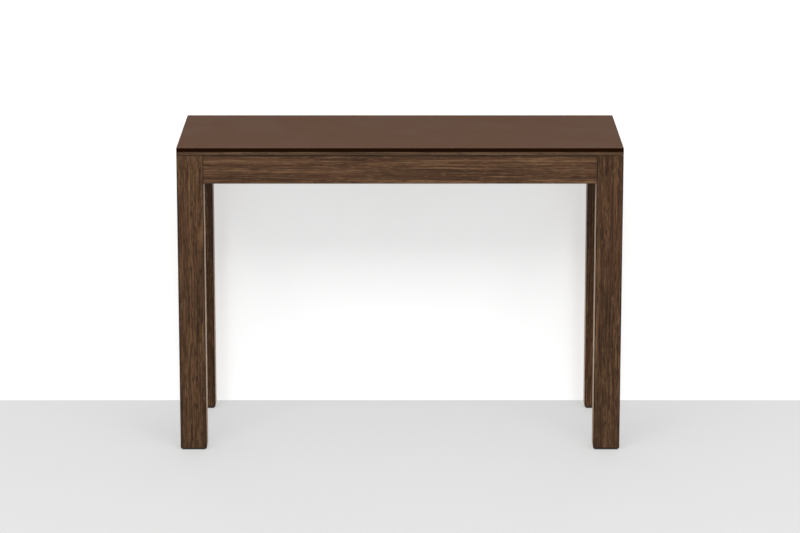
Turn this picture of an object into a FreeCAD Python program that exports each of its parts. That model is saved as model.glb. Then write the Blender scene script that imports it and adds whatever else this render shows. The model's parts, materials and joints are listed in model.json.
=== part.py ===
import FreeCAD, Part
import os
import re
import Sketcher

# Extending console table: a front and a rear leg frame that slide apart on two sets of telescopic rails.
# Millimetres. The origin is on the floor under the middle of the closed table, +X to the right, -Y to the
# front and +Z up. The rear frame stays where it is; the front frame carries the top and moves along -Y.

Vector = FreeCAD.Vector
Rotation = FreeCAD.Rotation

TINY = 1e-6
RAIL_STAGES = 8

SIZES = {
    # The closed table and its top.
    "table_width": 1100,
    "table_depth": 450,
    "table_height": 770,
    "glass_thickness": 10,
    "glass_bevel": 0.8,
    "top_corner_radius": 2,
    "panel_thickness": 8.5,
    "panel_edge_round": 0.6,
    "shadow_gap": 1.5,
    "leaf_pin_diameter": 5,
    "leaf_pin_depth": 18,
    "leaf_pin_spacing": 700,
    # Legs, aprons and feet.
    "leg_width": 66,
    "leg_depth": 60,
    "leg_edge_round": 3,
    "apron_height": 70,
    "apron_thickness": 25,
    "apron_setback": 2.5,
    "apron_edge_round": 1.5,
    "side_seam": 1,
    "seam_offset": 10,
    "bumper_diameter": 14,
    "top_pad_diameter": 24,
    "foot_height": 3,
    "foot_inset": 3.5,
    "foot_stem_diameter": 8,
    "foot_stem_length": 18,
    "cross_rail_height": 26,
    "cross_rail_thickness": 25,
    "cross_rail_offset": 14,
    # Corner joints.
    "dowel_diameter": 10,
    "dowel_length": 38,
    "dowel_spacing": 36,
    "corner_flat": 20,
    "bracket_thickness": 2.5,
    "bracket_height": 50,
    "bracket_flange": 28,
    "bracket_standoff": 10,
    "hanger_bolt_diameter": 8,
    "hanger_bolt_grip": 40,
    "hanger_bolt_tail": 12,
    "nut_width": 13,
    "nut_height": 6.5,
    # Wood screws, and the shorter ones that stop inside the top panel.
    "screw_diameter": 4,
    "screw_length": 16,
    "screw_head_diameter": 8,
    "screw_head_height": 2.6,
    "screw_spacing": 24,
    "panel_screw_length": 6,
    # Rails and the glides between them.
    "rail_width": 20,
    "rail_height": 40,
    "rail_web": 3,
    "rail_flange": 2.5,
    "rail_lip": 2,
    "rail_opening": 19,
    "rail_gap": 1,
    "rail_corner_clearance": 14,
    "rail_end_clearance": 2,
    "rail_run_clearance": 0.5,
    "slide_clearance": 0.3,
    "glide_length": 38.95,
    "glide_peg_diameter": 6,
    # Angles that hold the fixed rails and the top, with their bolts and square nuts.
    "angle_leg": 32,
    "angle_width": 32,
    "angle_screw_offset": 20,
    "rail_bolt_diameter": 5,
    "rail_bolt_head_diameter": 9,
    "rail_bolt_head_height": 3,
    "rail_nut_clearance": 3.5,
    "rail_nut_thickness": 3,
    # Pins and screws in their holes, all round and at the bottom.
    "pin_clearance": 0.1,
    "hole_end_clearance": 0.5,
}

# Sizes and places that follow from the sizes above.
PLACES = {
    "half_width": "table_width / 2",
    "half_depth": "table_depth / 2",
    "panel_top": "table_height - glass_thickness",
    "panel_under": "table_height - glass_thickness - panel_thickness",
    "frame_top": "table_height - glass_thickness - panel_thickness - shadow_gap",
    "apron_middle": "frame_top - apron_height / 2",
    "apron_under": "frame_top - apron_height",
    "leg_x": "half_width - leg_width / 2",
    "leg_y": "half_depth - leg_depth / 2",
    "end_joint": "half_width - leg_width",
    "side_joint": "half_depth - leg_depth",
    "end_inner": "half_depth - apron_setback - apron_thickness",
    "side_inner": "half_width - apron_setback - apron_thickness",
    "flat_line": "leg_width + leg_depth - 2 * (apron_setback + apron_thickness) - corner_flat",
    "bracket_line": "flat_line + bracket_standoff * sqrt(2)",
    "flange_middle": "bracket_line + bracket_flange / 2",
    "rail_length": "2 * (end_inner - rail_end_clearance)",
    "rail_middle": "panel_under - rail_run_clearance - rail_height / 2",
    "rail_under": "rail_middle - rail_height / 2",
    "rail_pitch": "rail_width + rail_gap",
    "rail_outer_face": "side_inner - bracket_line - bracket_flange - angle_leg - rail_corner_clearance",
    "rail_inner_face": f"rail_outer_face - rail_width - {RAIL_STAGES} * rail_pitch",
    "channel_depth": "(rail_width - rail_web) / 2 - rail_lip",
    "glide_y": "(rail_length - glide_length) / 2",
    "glide_reach": "rail_gap / 2 + rail_lip + channel_depth - slide_clearance",
    "glide_head": "channel_depth - 2 * slide_clearance",
    "cross_top": "rail_under - rail_run_clearance",
    "cross_y": "cross_rail_offset + cross_rail_thickness / 2",
    "cross_middle": "cross_top - cross_rail_height / 2",
    "angle_bolt_offset": "rail_run_clearance + rail_height / 2",
    "rail_nut_width": "rail_height - 2 * rail_flange - 2 * rail_nut_clearance",
    "front_clip_x": "(rail_inner_face - angle_leg) / 2",
    "side_clip_y": "(end_inner - bracket_line - bracket_flange) / 2",
    "panel_angle_y": "end_inner - angle_leg - angle_width",
}

doc = FreeCAD.newDocument("extending_console_table")
sheet_of = {}
nodes = []


def formula(text):
    """The text with each size and place named in it pointed at its own sheet."""
    return re.sub(r"[a-z_]+", lambda name: sheet_of.get(name[0], "") + name[0], text)


def fill_sheet(title, cells):
    """A spreadsheet of names and contents, each content under its name as an alias."""
    sheet = doc.addObject("Spreadsheet::Sheet", title)
    for row, (name, content) in enumerate(cells.items(), 1):
        sheet.set(f"A{row}", name)
        sheet.set(f"B{row}", f"={formula(content)}" if isinstance(content, str) else str(content))
        sheet.setAlias(f"B{row}", name)
        sheet_of[name] = f"{title}."


def bind(item, **formulas):
    """The item with its properties bound to formulas of the sheets."""
    for name, text in formulas.items():
        item.setExpression(name, formula(text))
    return item


def locate(item, x="0", y="0", z="0", turn=Rotation()):
    """The item turned, then moved to a place given by three formulas."""
    item.Placement = FreeCAD.Placement(Vector(), turn)
    for axis, text in zip("xyz", (x, y, z)):
        item.setExpression(f"Placement.Base.{axis}", formula(text))
    return item


def node(label, item):
    """The item registered as a finished piece, or group of pieces, of the table."""
    item.Label = label
    nodes.append(item)
    return item


def turned(x_axis, y_axis):
    """The turn that carries +X and +Y onto two square axes."""
    return Rotation(x_axis, y_axis, x_axis.cross(y_axis), "XYZ")


RIGHT = Vector(1, 0, 0)
BACK = Vector(0, 1, 0)
UP = Vector(0, 0, 1)
UP_TO_RIGHT = Rotation(UP, RIGHT)
UP_TO_BACK = Rotation(UP, BACK)
HALF_TURN = Rotation(UP, 180)


def block(name, length, width, height):
    return bind(doc.addObject("Part::Box", name), Length=length, Width=width, Height=height)


def rod(name, diameter, length):
    return bind(doc.addObject("Part::Cylinder", name), Radius=f"({diameter}) / 2", Height=length)


def group(name, members):
    """Separate solids kept together as one object."""
    compound = doc.addObject("Part::Compound", name)
    compound.Links = members
    return compound


def fused(name, members):
    fusion = doc.addObject("Part::MultiFuse", name)
    fusion.Shapes = members
    return fusion


def drilled(name, stock, tools):
    """The stock with the volumes of the tools, which stay clear of each other, taken away."""
    cut = doc.addObject("Part::Cut", name)
    cut.Base = stock
    cut.Tool = group(f"{name}_tools", tools)
    return cut


def copy(item, **place):
    """Another of the same item, at its own place."""
    link = doc.addObject("App::Link", f"{item.Name}_copy")
    link.LinkedObject = item
    link.LinkTransform = True
    return locate(link, **place)


def origin_plane(body, role):
    return next(plane for plane in body.Origin.OriginFeatures if plane.Role == role)


def outline(body, role, corners):
    """A closed sketch on an origin plane, the same to the left and right and above and below.

    Its upper right corners are pairs of formulas, in order from the top middle round to the right middle.
    """
    sketch = body.newObject("Sketcher::SketchObject", f"{body.Name}_outline")
    sketch.AttachmentSupport = [(origin_plane(body, role), "")]
    sketch.MapMode = "FlatFace"
    quarter = len(corners)
    rough = [(1 + i, 1 + quarter - i) for i in range(quarter)]
    right = rough + [(u, -v) for u, v in reversed(rough)]
    ring = right + [(-u, v) for u, v in reversed(right)]
    count = len(ring)
    starts = [Vector(u, v, 0) for u, v in ring]
    sketch.addGeometry([Part.LineSegment(starts[i], starts[(i + 1) % count]) for i in range(count)])
    ties = [Sketcher.Constraint("Coincident", i, 2, (i + 1) % count, 1) for i in range(count)]
    ties += [Sketcher.Constraint("Symmetric", i, 1, 2 * quarter - 1 - i, 1, -1) for i in range(quarter)]
    ties += [Sketcher.Constraint("Symmetric", i, 1, count - 1 - i, 1, -2) for i in range(2 * quarter)]
    sketch.addConstraint(ties)
    for i, corner in enumerate(corners):
        for kind, start, text in zip(("DistanceX", "DistanceY"), rough[i], corner):
            index = sketch.addConstraint(Sketcher.Constraint(kind, -1, 1, i, 1, start))
            sketch.setExpression(f"Constraints[{index}]", formula(text))
    return sketch


def padded(name, role, corners, length, both_ways=False):
    """A body whose mirrored outline is padded up from its plane, or both ways from it."""
    body = doc.addObject("PartDesign::Body", name)
    pad = body.newObject("PartDesign::Pad", f"{name}_pad")
    pad.Profile = outline(body, role, corners)
    bind(pad, Length=length)
    if both_ways:
        pad.SideType = "Symmetric"
    doc.recompute()
    return body


def ease(body, kind, size_name, size, chosen):
    """Rounds or bevels the body's chosen edges."""
    base = body.Tip
    edges = [f"Edge{i}" for i, edge in enumerate(base.Shape.Edges, 1) if chosen(edge.BoundBox)]
    feature = body.newObject(f"PartDesign::{kind}", f"{body.Name}_{kind}")
    feature.Base = (base, edges)
    bind(feature, **{size_name: size})
    doc.recompute()


def bore(body, diameter, length, **place):
    """Takes a round hole out of a body."""
    hole = body.newObject("PartDesign::SubtractiveCylinder", f"{body.Name}_bore")
    bind(hole, Radius=f"({diameter}) / 2", Height=length)
    locate(hole, **place)


def is_upright(box):
    return box.XLength < TINY and box.YLength < TINY


def is_level(box):
    return box.ZLength < TINY


def board(name, length, thickness, height, turn=Rotation(), **place):
    """A straight board on edge with its four long edges rounded, its length along X before it is turned."""
    body = padded(name, "XY_Plane", [(f"({length}) / 2", f"({thickness}) / 2")], height)
    ease(body, "Fillet", "Radius", "apron_edge_round", lambda box: box.YLength < TINY and box.ZLength < TINY)
    return locate(body, turn=turn, **place)


def headed_pin(name, diameter, length, head_diameter, head_height):
    """A screw or bolt that points down from the origin, with its rounded head above it."""
    body = doc.addObject("PartDesign::Body", name)
    head = body.newObject("PartDesign::AdditiveCylinder", f"{name}_head")
    bind(head, Radius=f"{head_diameter} / 2", Height=head_height)
    doc.recompute()
    ease(body, "Fillet", "Radius", f"{head_height} / 2", lambda box: box.ZMin > TINY)
    shank = body.newObject("PartDesign::AdditiveCylinder", f"{name}_shank")
    bind(shank, Radius=f"{diameter} / 2", Height=length)
    locate(shank, z=f"-({length})")
    return body


def drill(name, diameter, length):
    """The hole that a headed pin of this size goes into."""
    hole = rod(name, f"{diameter} + 2 * pin_clearance", f"{length} + hole_end_clearance")
    return locate(hole, z=f"-({length}) - hole_end_clearance")


fill_sheet("Sizes", SIZES)
fill_sheet("Places", PLACES)
doc.recompute()

# Screws and dowels, with the holes that take them.
WOOD_SCREW_REACH = "bracket_thickness + screw_length"
PANEL_SCREW_REACH = "bracket_thickness + panel_screw_length"
RAIL_BOLT_REACH = "bracket_thickness + rail_lip + rail_nut_thickness"
SCREW_HEAD = ("screw_head_diameter", "screw_head_height")
wood_screw = headed_pin("wood_screw", "screw_diameter", WOOD_SCREW_REACH, *SCREW_HEAD)
wood_drill = drill("wood_drill", "screw_diameter", WOOD_SCREW_REACH)
panel_screw = headed_pin("panel_screw", "screw_diameter", PANEL_SCREW_REACH, *SCREW_HEAD)
panel_drill = drill("panel_drill", "screw_diameter", PANEL_SCREW_REACH)
rail_bolt = headed_pin(
    "rail_bolt", "rail_bolt_diameter", RAIL_BOLT_REACH, "rail_bolt_head_diameter", "rail_bolt_head_height"
)
rail_bolt_drill = drill("rail_bolt_drill", "rail_bolt_diameter", RAIL_BOLT_REACH)
dowel = locate(rod("dowel", "dowel_diameter", "dowel_length"), x="-dowel_length / 2", turn=UP_TO_RIGHT)
dowel_drill = locate(
    rod("dowel_drill", "dowel_diameter + 2 * pin_clearance", "dowel_length + 2 * hole_end_clearance"),
    x="-dowel_length / 2 - hole_end_clearance",
    turn=UP_TO_RIGHT,
)

# Corner hardware, about the point where the inner faces of an end apron (along +X) and a side apron
# (along +Y) would meet, at the middle of the aprons' height. The bolt runs along the diagonal.
DIAGONAL = Rotation(UP, -45)
UP_TO_DIAGONAL = Rotation(UP, Vector(1, 1, 0))
bracket_plate = block("bracket_plate", "bracket_line * sqrt(2)", "bracket_thickness", "bracket_height")
locate(bracket_plate, y="bracket_line", z="-bracket_height / 2", turn=DIAGONAL)
end_flange = block("end_flange", "bracket_flange", "bracket_thickness", "bracket_height")
locate(end_flange, x="bracket_line", z="-bracket_height / 2")
side_flange = block("side_flange", "bracket_thickness", "bracket_flange", "bracket_height")
locate(side_flange, y="bracket_line", z="-bracket_height / 2")

FLANGE_SCREWS = [
    {"x": x, "y": y, "z": f"{sign} * screw_spacing / 2", "turn": turn}
    for sign in (-1, 1)
    for x, y, turn in (
        ("flange_middle", "bracket_thickness", UP_TO_BACK),
        ("bracket_thickness", "flange_middle", UP_TO_RIGHT),
    )
]
BOLT_FOOT = "flat_line / 2 - hanger_bolt_grip / sqrt(2)"
BOLT_HEAD = "flat_line / 2 + (bracket_standoff + bracket_thickness) / sqrt(2)"
HANGER_REACH = "hanger_bolt_grip + bracket_standoff + bracket_thickness"
flange_screws = group("flange_screws", [copy(wood_screw, **place) for place in FLANGE_SCREWS])
flange_drills = group("flange_drills", [copy(wood_drill, **place) for place in FLANGE_SCREWS])
hanger_bolt = locate(
    rod("hanger_bolt", "hanger_bolt_diameter", f"{HANGER_REACH} + hanger_bolt_tail"),
    x=BOLT_FOOT,
    y=BOLT_FOOT,
    turn=UP_TO_DIAGONAL,
)
hanger_drill = locate(
    rod("hanger_drill", "hanger_bolt_diameter + 2 * pin_clearance", f"{HANGER_REACH} + hanger_bolt_tail"),
    x=BOLT_FOOT,
    y=BOLT_FOOT,
    turn=UP_TO_DIAGONAL,
)
nut_stock = bind(
    doc.addObject("Part::Prism", "nut_stock"), Circumradius="nut_width / sqrt(3)", Height="nut_height"
)
locate(nut_stock, x=BOLT_HEAD, y=BOLT_HEAD, turn=UP_TO_DIAGONAL)
corner_nut = drilled("corner_nut", nut_stock, [copy(hanger_drill)])
corner_bracket = drilled(
    "corner_bracket",
    fused("bracket_blank", [bracket_plate, end_flange, side_flange]),
    [copy(hanger_drill), copy(flange_drills)],
)
corner_flat = locate(
    block("corner_flat", "2 * corner_flat", "corner_flat", "apron_height + shadow_gap"),
    x="flat_line / 2 - corner_flat / sqrt(2)",
    y="flat_line / 2 + corner_flat / sqrt(2)",
    z="-apron_height / 2",
    turn=DIAGONAL,
)

# Steel angle, about its bend. One leg lies on the plane X = 0, with a bolt or screw from +X, and the other
# on the plane Y = 0, with a screw from +Y.
first_leg = locate(
    block("first_leg", "bracket_thickness", "angle_leg", "angle_width"), z="-angle_width / 2"
)
second_leg = locate(
    block("second_leg", "angle_leg", "bracket_thickness", "angle_width"), z="-angle_width / 2"
)
FIRST_LEG_PIN = {"x": "bracket_thickness", "y": "angle_bolt_offset", "turn": UP_TO_RIGHT}
SECOND_LEG_PIN = {"x": "angle_screw_offset", "y": "bracket_thickness", "turn": UP_TO_BACK}
angle = drilled(
    "angle",
    fused("angle_blank", [first_leg, second_leg]),
    [copy(rail_bolt_drill, **FIRST_LEG_PIN), copy(wood_drill, **SECOND_LEG_PIN)],
)
angle_bolt = group("angle_bolt", [copy(rail_bolt, **FIRST_LEG_PIN)])
angle_nut_stock = locate(
    block("angle_nut_stock", "rail_nut_thickness", "rail_nut_width", "rail_nut_width"),
    x="-rail_lip - rail_nut_thickness",
    y="angle_bolt_offset - rail_nut_width / 2",
    z="-rail_nut_width / 2",
)
angle_nut = drilled("angle_nut", angle_nut_stock, [copy(rail_bolt_drill, **FIRST_LEG_PIN)])
first_screw = group("first_screw", [copy(wood_screw, **FIRST_LEG_PIN)])
first_drill = group("first_drill", [copy(wood_drill, **FIRST_LEG_PIN)])
second_screw = group("second_screw", [copy(wood_screw, **SECOND_LEG_PIN)])
second_drill = group("second_drill", [copy(wood_drill, **SECOND_LEG_PIN)])
lid_screw = group("lid_screw", [copy(panel_screw, **SECOND_LEG_PIN)])
lid_drill = group("lid_drill", [copy(panel_drill, **SECOND_LEG_PIN)])

# Foot, about the middle of a leg on the floor, and the hole for its stem.
foot_plate = padded(
    "foot_plate",
    "XY_Plane",
    [("leg_width / 2 - foot_inset", "leg_depth / 2 - foot_inset")],
    "foot_height",
)
ease(foot_plate, "Fillet", "Radius", "foot_inset", is_upright)
foot = fused(
    "foot", [foot_plate, rod("foot_stem", "foot_stem_diameter", "foot_height + foot_stem_length")]
)
foot_drill = rod(
    "foot_drill",
    "foot_stem_diameter + 2 * pin_clearance",
    "foot_height + foot_stem_length + hole_end_clearance",
)

# Glide, about the middle of the gap between two rails: a head in each channel, a neck between the lips, and
# a peg at +X in the web of the rail that it is fixed to.
glide = padded(
    "glide",
    "XZ_Plane",
    [
        ("glide_reach - glide_head", "rail_opening / 2 - slide_clearance"),
        ("glide_reach - glide_head", "rail_height / 2 - rail_flange - slide_clearance"),
        ("glide_reach", "rail_height / 2 - rail_flange - slide_clearance"),
    ],
    "glide_length",
    both_ways=True,
)
glide_peg = glide.newObject("PartDesign::AdditiveCylinder", "glide_peg")
bind(
    glide_peg,
    Radius="glide_peg_diameter / 2",
    Height="glide_head / 2 + slide_clearance + rail_web",
)
locate(glide_peg, x="glide_reach - glide_head / 2", turn=UP_TO_RIGHT)

RAIL_CORNERS = [
    ("rail_width / 2", "rail_height / 2"),
    ("rail_width / 2", "rail_opening / 2"),
    ("rail_width / 2 - rail_lip", "rail_opening / 2"),
    ("rail_width / 2 - rail_lip", "rail_height / 2 - rail_flange"),
    ("rail_web / 2", "rail_height / 2 - rail_flange"),
]


def rail(name, side, stage):
    """One rail of the left (-1) or right (+1) set, with peg holes for the glides fixed to it.

    Stage 0 is the outermost rail, on the rear frame; the last stage is the innermost, on the front frame.
    """
    body = padded(name, "XZ_Plane", RAIL_CORNERS, "rail_length", both_ways=True)
    ends = [-1] * (stage < RAIL_STAGES) + [1] * (stage > 0)
    for end in ends:
        bore(
            body,
            "glide_peg_diameter + 2 * pin_clearance",
            "2 * rail_web",
            x="-rail_web",
            y=f"{end} * glide_y",
            turn=UP_TO_RIGHT,
        )
    x = f"{side} * (rail_outer_face - rail_width / 2 - {stage} * rail_pitch)"
    return node(name, locate(body, x=x, z="rail_middle"))


def stage_glides(name, stage):
    """The glides pegged to both rails of a stage.

    The front one runs in the next rail inwards, and the rear one in the next rail outwards.
    """
    members = []
    for side in (-1, 1):
        inwards = HALF_TURN if side < 0 else Rotation()
        outwards = Rotation() if side < 0 else HALF_TURN
        for step, end, turn in ((1, -1, inwards), (-1, 1, outwards)):
            if 0 <= stage + step <= RAIL_STAGES:
                x = f"{side} * (rail_outer_face - rail_width / 2 - {stage + step / 2} * rail_pitch)"
                members.append(copy(glide, x=x, y=f"{end} * glide_y", z="rail_middle", turn=turn))
    return node(name, group(name, members))


# Where each steel angle sits, as its turn and place: left and right alike.
def rail_end_angle(side, end):
    """On an end apron and a fixed rail's free face: outer for the rear rails, inner for the front ones."""
    face = "rail_outer_face" if end > 0 else "rail_inner_face"
    place = {"x": f"{side} * {face}", "y": f"{end} * end_inner", "z": "rail_middle"}
    return {"turn": turned(RIGHT * side * end, BACK * -end), **place}


def cross_angle(side):
    """On a rear rail's outer face and the cross rail's top."""
    place = {"x": f"{side} * rail_outer_face", "y": "cross_y", "z": "cross_top"}
    return {"turn": turned(RIGHT * side, UP), **place}


def panel_angle(side, end):
    """On a front rail's inner face and the underside of the top panel."""
    place = {"x": f"{side} * rail_inner_face", "y": f"{end} * panel_angle_y", "z": "panel_under"}
    return {"turn": turned(RIGHT * -side, UP * -1), **place}


def front_clip(side):
    """On the front apron's inner face and the underside of the top panel."""
    place = {"x": f"{side} * front_clip_x", "y": "-end_inner", "z": "panel_under"}
    return {"turn": turned(BACK, UP * -1), **place}


def side_clip(side):
    """On a front side apron's inner face and the underside of the top panel."""
    place = {"x": f"{side} * side_inner", "y": "-side_clip_y", "z": "panel_under"}
    return {"turn": turned(RIGHT * -side, UP * -1), **place}


SIDES = {"left": -1, "right": 1}
CORNER_TURNS = {(-1, -1): 0, (1, -1): 90, (1, 1): 180, (-1, 1): 270}


def corner(side, end):
    """The place of the corner hardware at one leg."""
    turn = Rotation(UP, CORNER_TURNS[side, end])
    return {"x": f"{side} * side_inner", "y": f"{end} * end_inner", "z": "apron_middle", "turn": turn}


def end_dowels(side, end):
    """The two dowels between an end apron and a leg."""
    return [
        {
            "x": f"{side} * end_joint",
            "y": f"{end} * (end_inner + apron_thickness / 2)",
            "z": f"apron_middle + {level} * dowel_spacing / 2",
        }
        for level in (-1, 1)
    ]


def side_dowels(side, end):
    """The two dowels between a side apron and a leg."""
    return [
        {
            "x": f"{side} * (side_inner + apron_thickness / 2)",
            "y": f"{end} * side_joint",
            "z": f"apron_middle + {level} * dowel_spacing / 2",
            "turn": Rotation(UP, 90),
        }
        for level in (-1, 1)
    ]


def cross_dowel(side):
    """The dowel between the cross rail and a rear side apron."""
    return {"x": f"{side} * side_inner", "y": "cross_y", "z": "cross_middle"}


def leg_place(side, end):
    return {"x": f"{side} * leg_x", "y": f"{end} * leg_y"}


def leg(name, side, end):
    stock = padded(
        f"{name}_stock",
        "XY_Plane",
        [("leg_width / 2", "leg_depth / 2")],
        "frame_top - foot_height",
    )
    ease(stock, "Fillet", "Radius", "leg_edge_round", lambda box: is_upright(box) or box.ZMax < TINY)
    locate(stock, z="foot_height", **leg_place(side, end))
    flattened = drilled(f"{name}_flat", stock, [copy(corner_flat, **corner(side, end))])
    tools = [copy(dowel_drill, **place) for place in end_dowels(side, end) + side_dowels(side, end)]
    tools.append(copy(hanger_drill, **corner(side, end)))
    tools.append(copy(foot_drill, **leg_place(side, end)))
    return node(name, drilled(name, flattened, tools))


def end_apron(name, end, angle_screws):
    """The front (-1) or rear (+1) apron, drilled for dowels, brackets and the angles screwed to it."""
    stock = board(
        f"{name}_stock",
        "2 * end_joint",
        "apron_thickness",
        "apron_height",
        y=f"{end} * (end_inner + apron_thickness / 2)",
        z="apron_under",
    )
    tools = list(angle_screws)
    for side in SIDES.values():
        tools += [copy(dowel_drill, **place) for place in end_dowels(side, end)]
        tools.append(copy(flange_drills, **corner(side, end)))
    return node(name, drilled(name, stock, tools))


def side_apron(name, side, end, further_drills):
    """One part of a side apron, from its leg to the seam in front of the middle of the depth."""
    length = f"(side_joint + {end} * seam_offset - side_seam / 2)"
    stock = board(
        f"{name}_stock",
        length,
        "apron_thickness",
        "apron_height",
        turn=Rotation(UP, 90),
        x=f"{side} * (side_inner + apron_thickness / 2)",
        y=f"{end} * (side_joint - {length} / 2)",
        z="apron_under",
    )
    tools = [copy(dowel_drill, **place) for place in side_dowels(side, end)]
    tools.append(copy(flange_drills, **corner(side, end)))
    return node(name, drilled(name, stock, tools + further_drills))


def cross_rail(name):
    """The board under the rails that ties the rear side aprons together."""
    stock = board(
        f"{name}_stock",
        "2 * side_inner",
        "cross_rail_thickness",
        "cross_rail_height",
        y="cross_y",
        z="cross_top - cross_rail_height",
    )
    tools = [copy(dowel_drill, **cross_dowel(side)) for side in SIDES.values()]
    tools += [copy(second_drill, **cross_angle(side)) for side in SIDES.values()]
    return node(name, drilled(name, stock, tools))


def top_sheet(name, thickness, level, easing):
    """A sheet of the closed table's full outline with eased corners and edges."""
    body = padded(name, "XY_Plane", [("half_width", "half_depth")], thickness)
    ease(body, "Fillet", "Radius", "top_corner_radius", is_upright)
    ease(body, *easing, is_level)
    return locate(body, z=level)


# The top: painted glass on a wood panel that has sockets for a leaf's pins in its rear edge.
LID_PLACES = [panel_angle(side, end) for side in SIDES.values() for end in (-1, 1)]
CLIP_PLACES = [place(side) for side in SIDES.values() for place in (front_clip, side_clip)]
node("glass_top", top_sheet("glass_top", "glass_thickness", "panel_top", ("Chamfer", "Size", "glass_bevel")))
panel_stock = top_sheet(
    "panel_stock", "panel_thickness", "panel_under", ("Fillet", "Radius", "panel_edge_round")
)
for side in SIDES.values():
    bore(
        panel_stock,
        "leaf_pin_diameter",
        "leaf_pin_depth",
        x=f"{side} * leaf_pin_spacing / 2",
        y="half_depth - leaf_pin_depth",
        z="panel_thickness / 2",
        turn=UP_TO_BACK,
    )
panel_tools = [copy(lid_drill, **place) for place in LID_PLACES + CLIP_PLACES]
node("top_panel", drilled("top_panel", panel_stock, panel_tools))

# The two leg frames.
REAR_END_ANGLES = [rail_end_angle(side, 1) for side in SIDES.values()]
FRONT_END_ANGLES = [rail_end_angle(side, -1) for side in SIDES.values()]
CROSS_ANGLES = [cross_angle(side) for side in SIDES.values()]
FRONT_CLIPS = [front_clip(side) for side in SIDES.values()]
rear_drills = [copy(second_drill, **place) for place in REAR_END_ANGLES]
front_drills = [copy(second_drill, **place) for place in FRONT_END_ANGLES]
front_drills += [copy(first_drill, **place) for place in FRONT_CLIPS]
end_apron("front_apron", -1, front_drills)
end_apron("rear_apron", 1, rear_drills)
cross_rail("rear_cross_rail")

FRAMES = {"front": -1, "rear": 1}
for frame, end in FRAMES.items():
    for side_name, side in SIDES.items():
        leg(f"{frame}_{side_name}_leg", side, end)
        further = (
            [copy(first_drill, **side_clip(side))] if end < 0 else [copy(dowel_drill, **cross_dowel(side))]
        )
        side_apron(f"{frame}_{side_name}_side_apron", side, end, further)
    corners = [corner(side, end) for side in SIDES.values()]
    dowels = [place for side in SIDES.values() for place in end_dowels(side, end) + side_dowels(side, end)]
    rail_angles = FRONT_END_ANGLES + LID_PLACES if end < 0 else REAR_END_ANGLES + CROSS_ANGLES
    seat_angles = FRONT_END_ANGLES if end < 0 else REAR_END_ANGLES + CROSS_ANGLES
    dowels += [] if end < 0 else [cross_dowel(side) for side in SIDES.values()]
    screws = [copy(flange_screws, **place) for place in corners]
    screws += [copy(second_screw, **place) for place in seat_angles]
    screws += [copy(first_screw, **place) for place in CLIP_PLACES] if end < 0 else []
    pieces = {
        "feet": [copy(foot, **leg_place(side, end)) for side in SIDES.values()],
        "dowels": [copy(dowel, **place) for place in dowels],
        "corner_brackets": [copy(corner_bracket, **place) for place in corners],
        "corner_bolts": [copy(item, **place) for place in corners for item in (hanger_bolt, corner_nut)],
        "screws": screws,
        "rail_angles": [copy(angle, **place) for place in rail_angles],
        "rail_bolts": [copy(item, **place) for place in rail_angles for item in (angle_bolt, angle_nut)],
    }
    for piece, members in pieces.items():
        node(f"{frame}_{piece}", group(f"{frame}_{piece}", members))

node("top_clips", group("top_clips", [copy(angle, **place) for place in CLIP_PLACES]))
node("panel_screws", group("panel_screws", [copy(lid_screw, **place) for place in LID_PLACES + CLIP_PLACES]))

# Discs on the leg tops: spacers that carry the top at the front, low pads that it glides over at the rear.
spacer = rod("spacer", "top_pad_diameter", "shadow_gap")
pad_disc = rod("pad_disc", "top_pad_diameter", "shadow_gap - slide_clearance")
for label, disc, end in (("front_top_spacers", spacer, -1), ("rear_top_pads", pad_disc, 1)):
    discs = [copy(disc, z="frame_top", **leg_place(side, end)) for side in SIDES.values()]
    node(label, group(label, discs))

# Bumpers on the rear side aprons, where the front ones meet them.
bumper = rod("bumper", "bumper_diameter", "side_seam - slide_clearance")
bumpers = [
    copy(
        bumper,
        x=f"{side} * (side_inner + apron_thickness / 2)",
        y="slide_clearance - side_seam / 2 - seam_offset",
        z="apron_middle",
        turn=UP_TO_BACK,
    )
    for side in SIDES.values()
]
node("closing_bumpers", group("closing_bumpers", bumpers))

# The rails, from the rear frame's outermost to the front frame's innermost, and their glides.
for stage in range(RAIL_STAGES + 1):
    for side_name, side in SIDES.items():
        names = {0: f"rear_{side_name}_rail", RAIL_STAGES: f"front_{side_name}_rail"}
        rail(names.get(stage, f"{side_name}_rail_{stage}"), side, stage)
    glide_names = {0: "rear_rail_glides", RAIL_STAGES: "front_rail_glides"}
    stage_glides(glide_names.get(stage, f"rail_glides_{stage}"), stage)

doc.recompute()
failed = [item.Name for item in doc.Objects if {"Invalid", "Error"} & set(item.State)]
broken = [
    item.Label
    for item in nodes
    if item.Shape.isNull() or not item.Shape.isValid() or not item.Shape.Solids
]
if failed or broken:
    raise RuntimeError(f"failed objects: {failed}, broken shapes: {broken}")

os.makedirs("parts", exist_ok=True)
for item in nodes:
    item.Shape.exportStep(f"parts/{item.Label}.step")
print(f"{len(nodes)} nodes, {sum(len(item.Shape.Solids) for item in nodes)} solids")
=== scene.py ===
import json
import math

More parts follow.
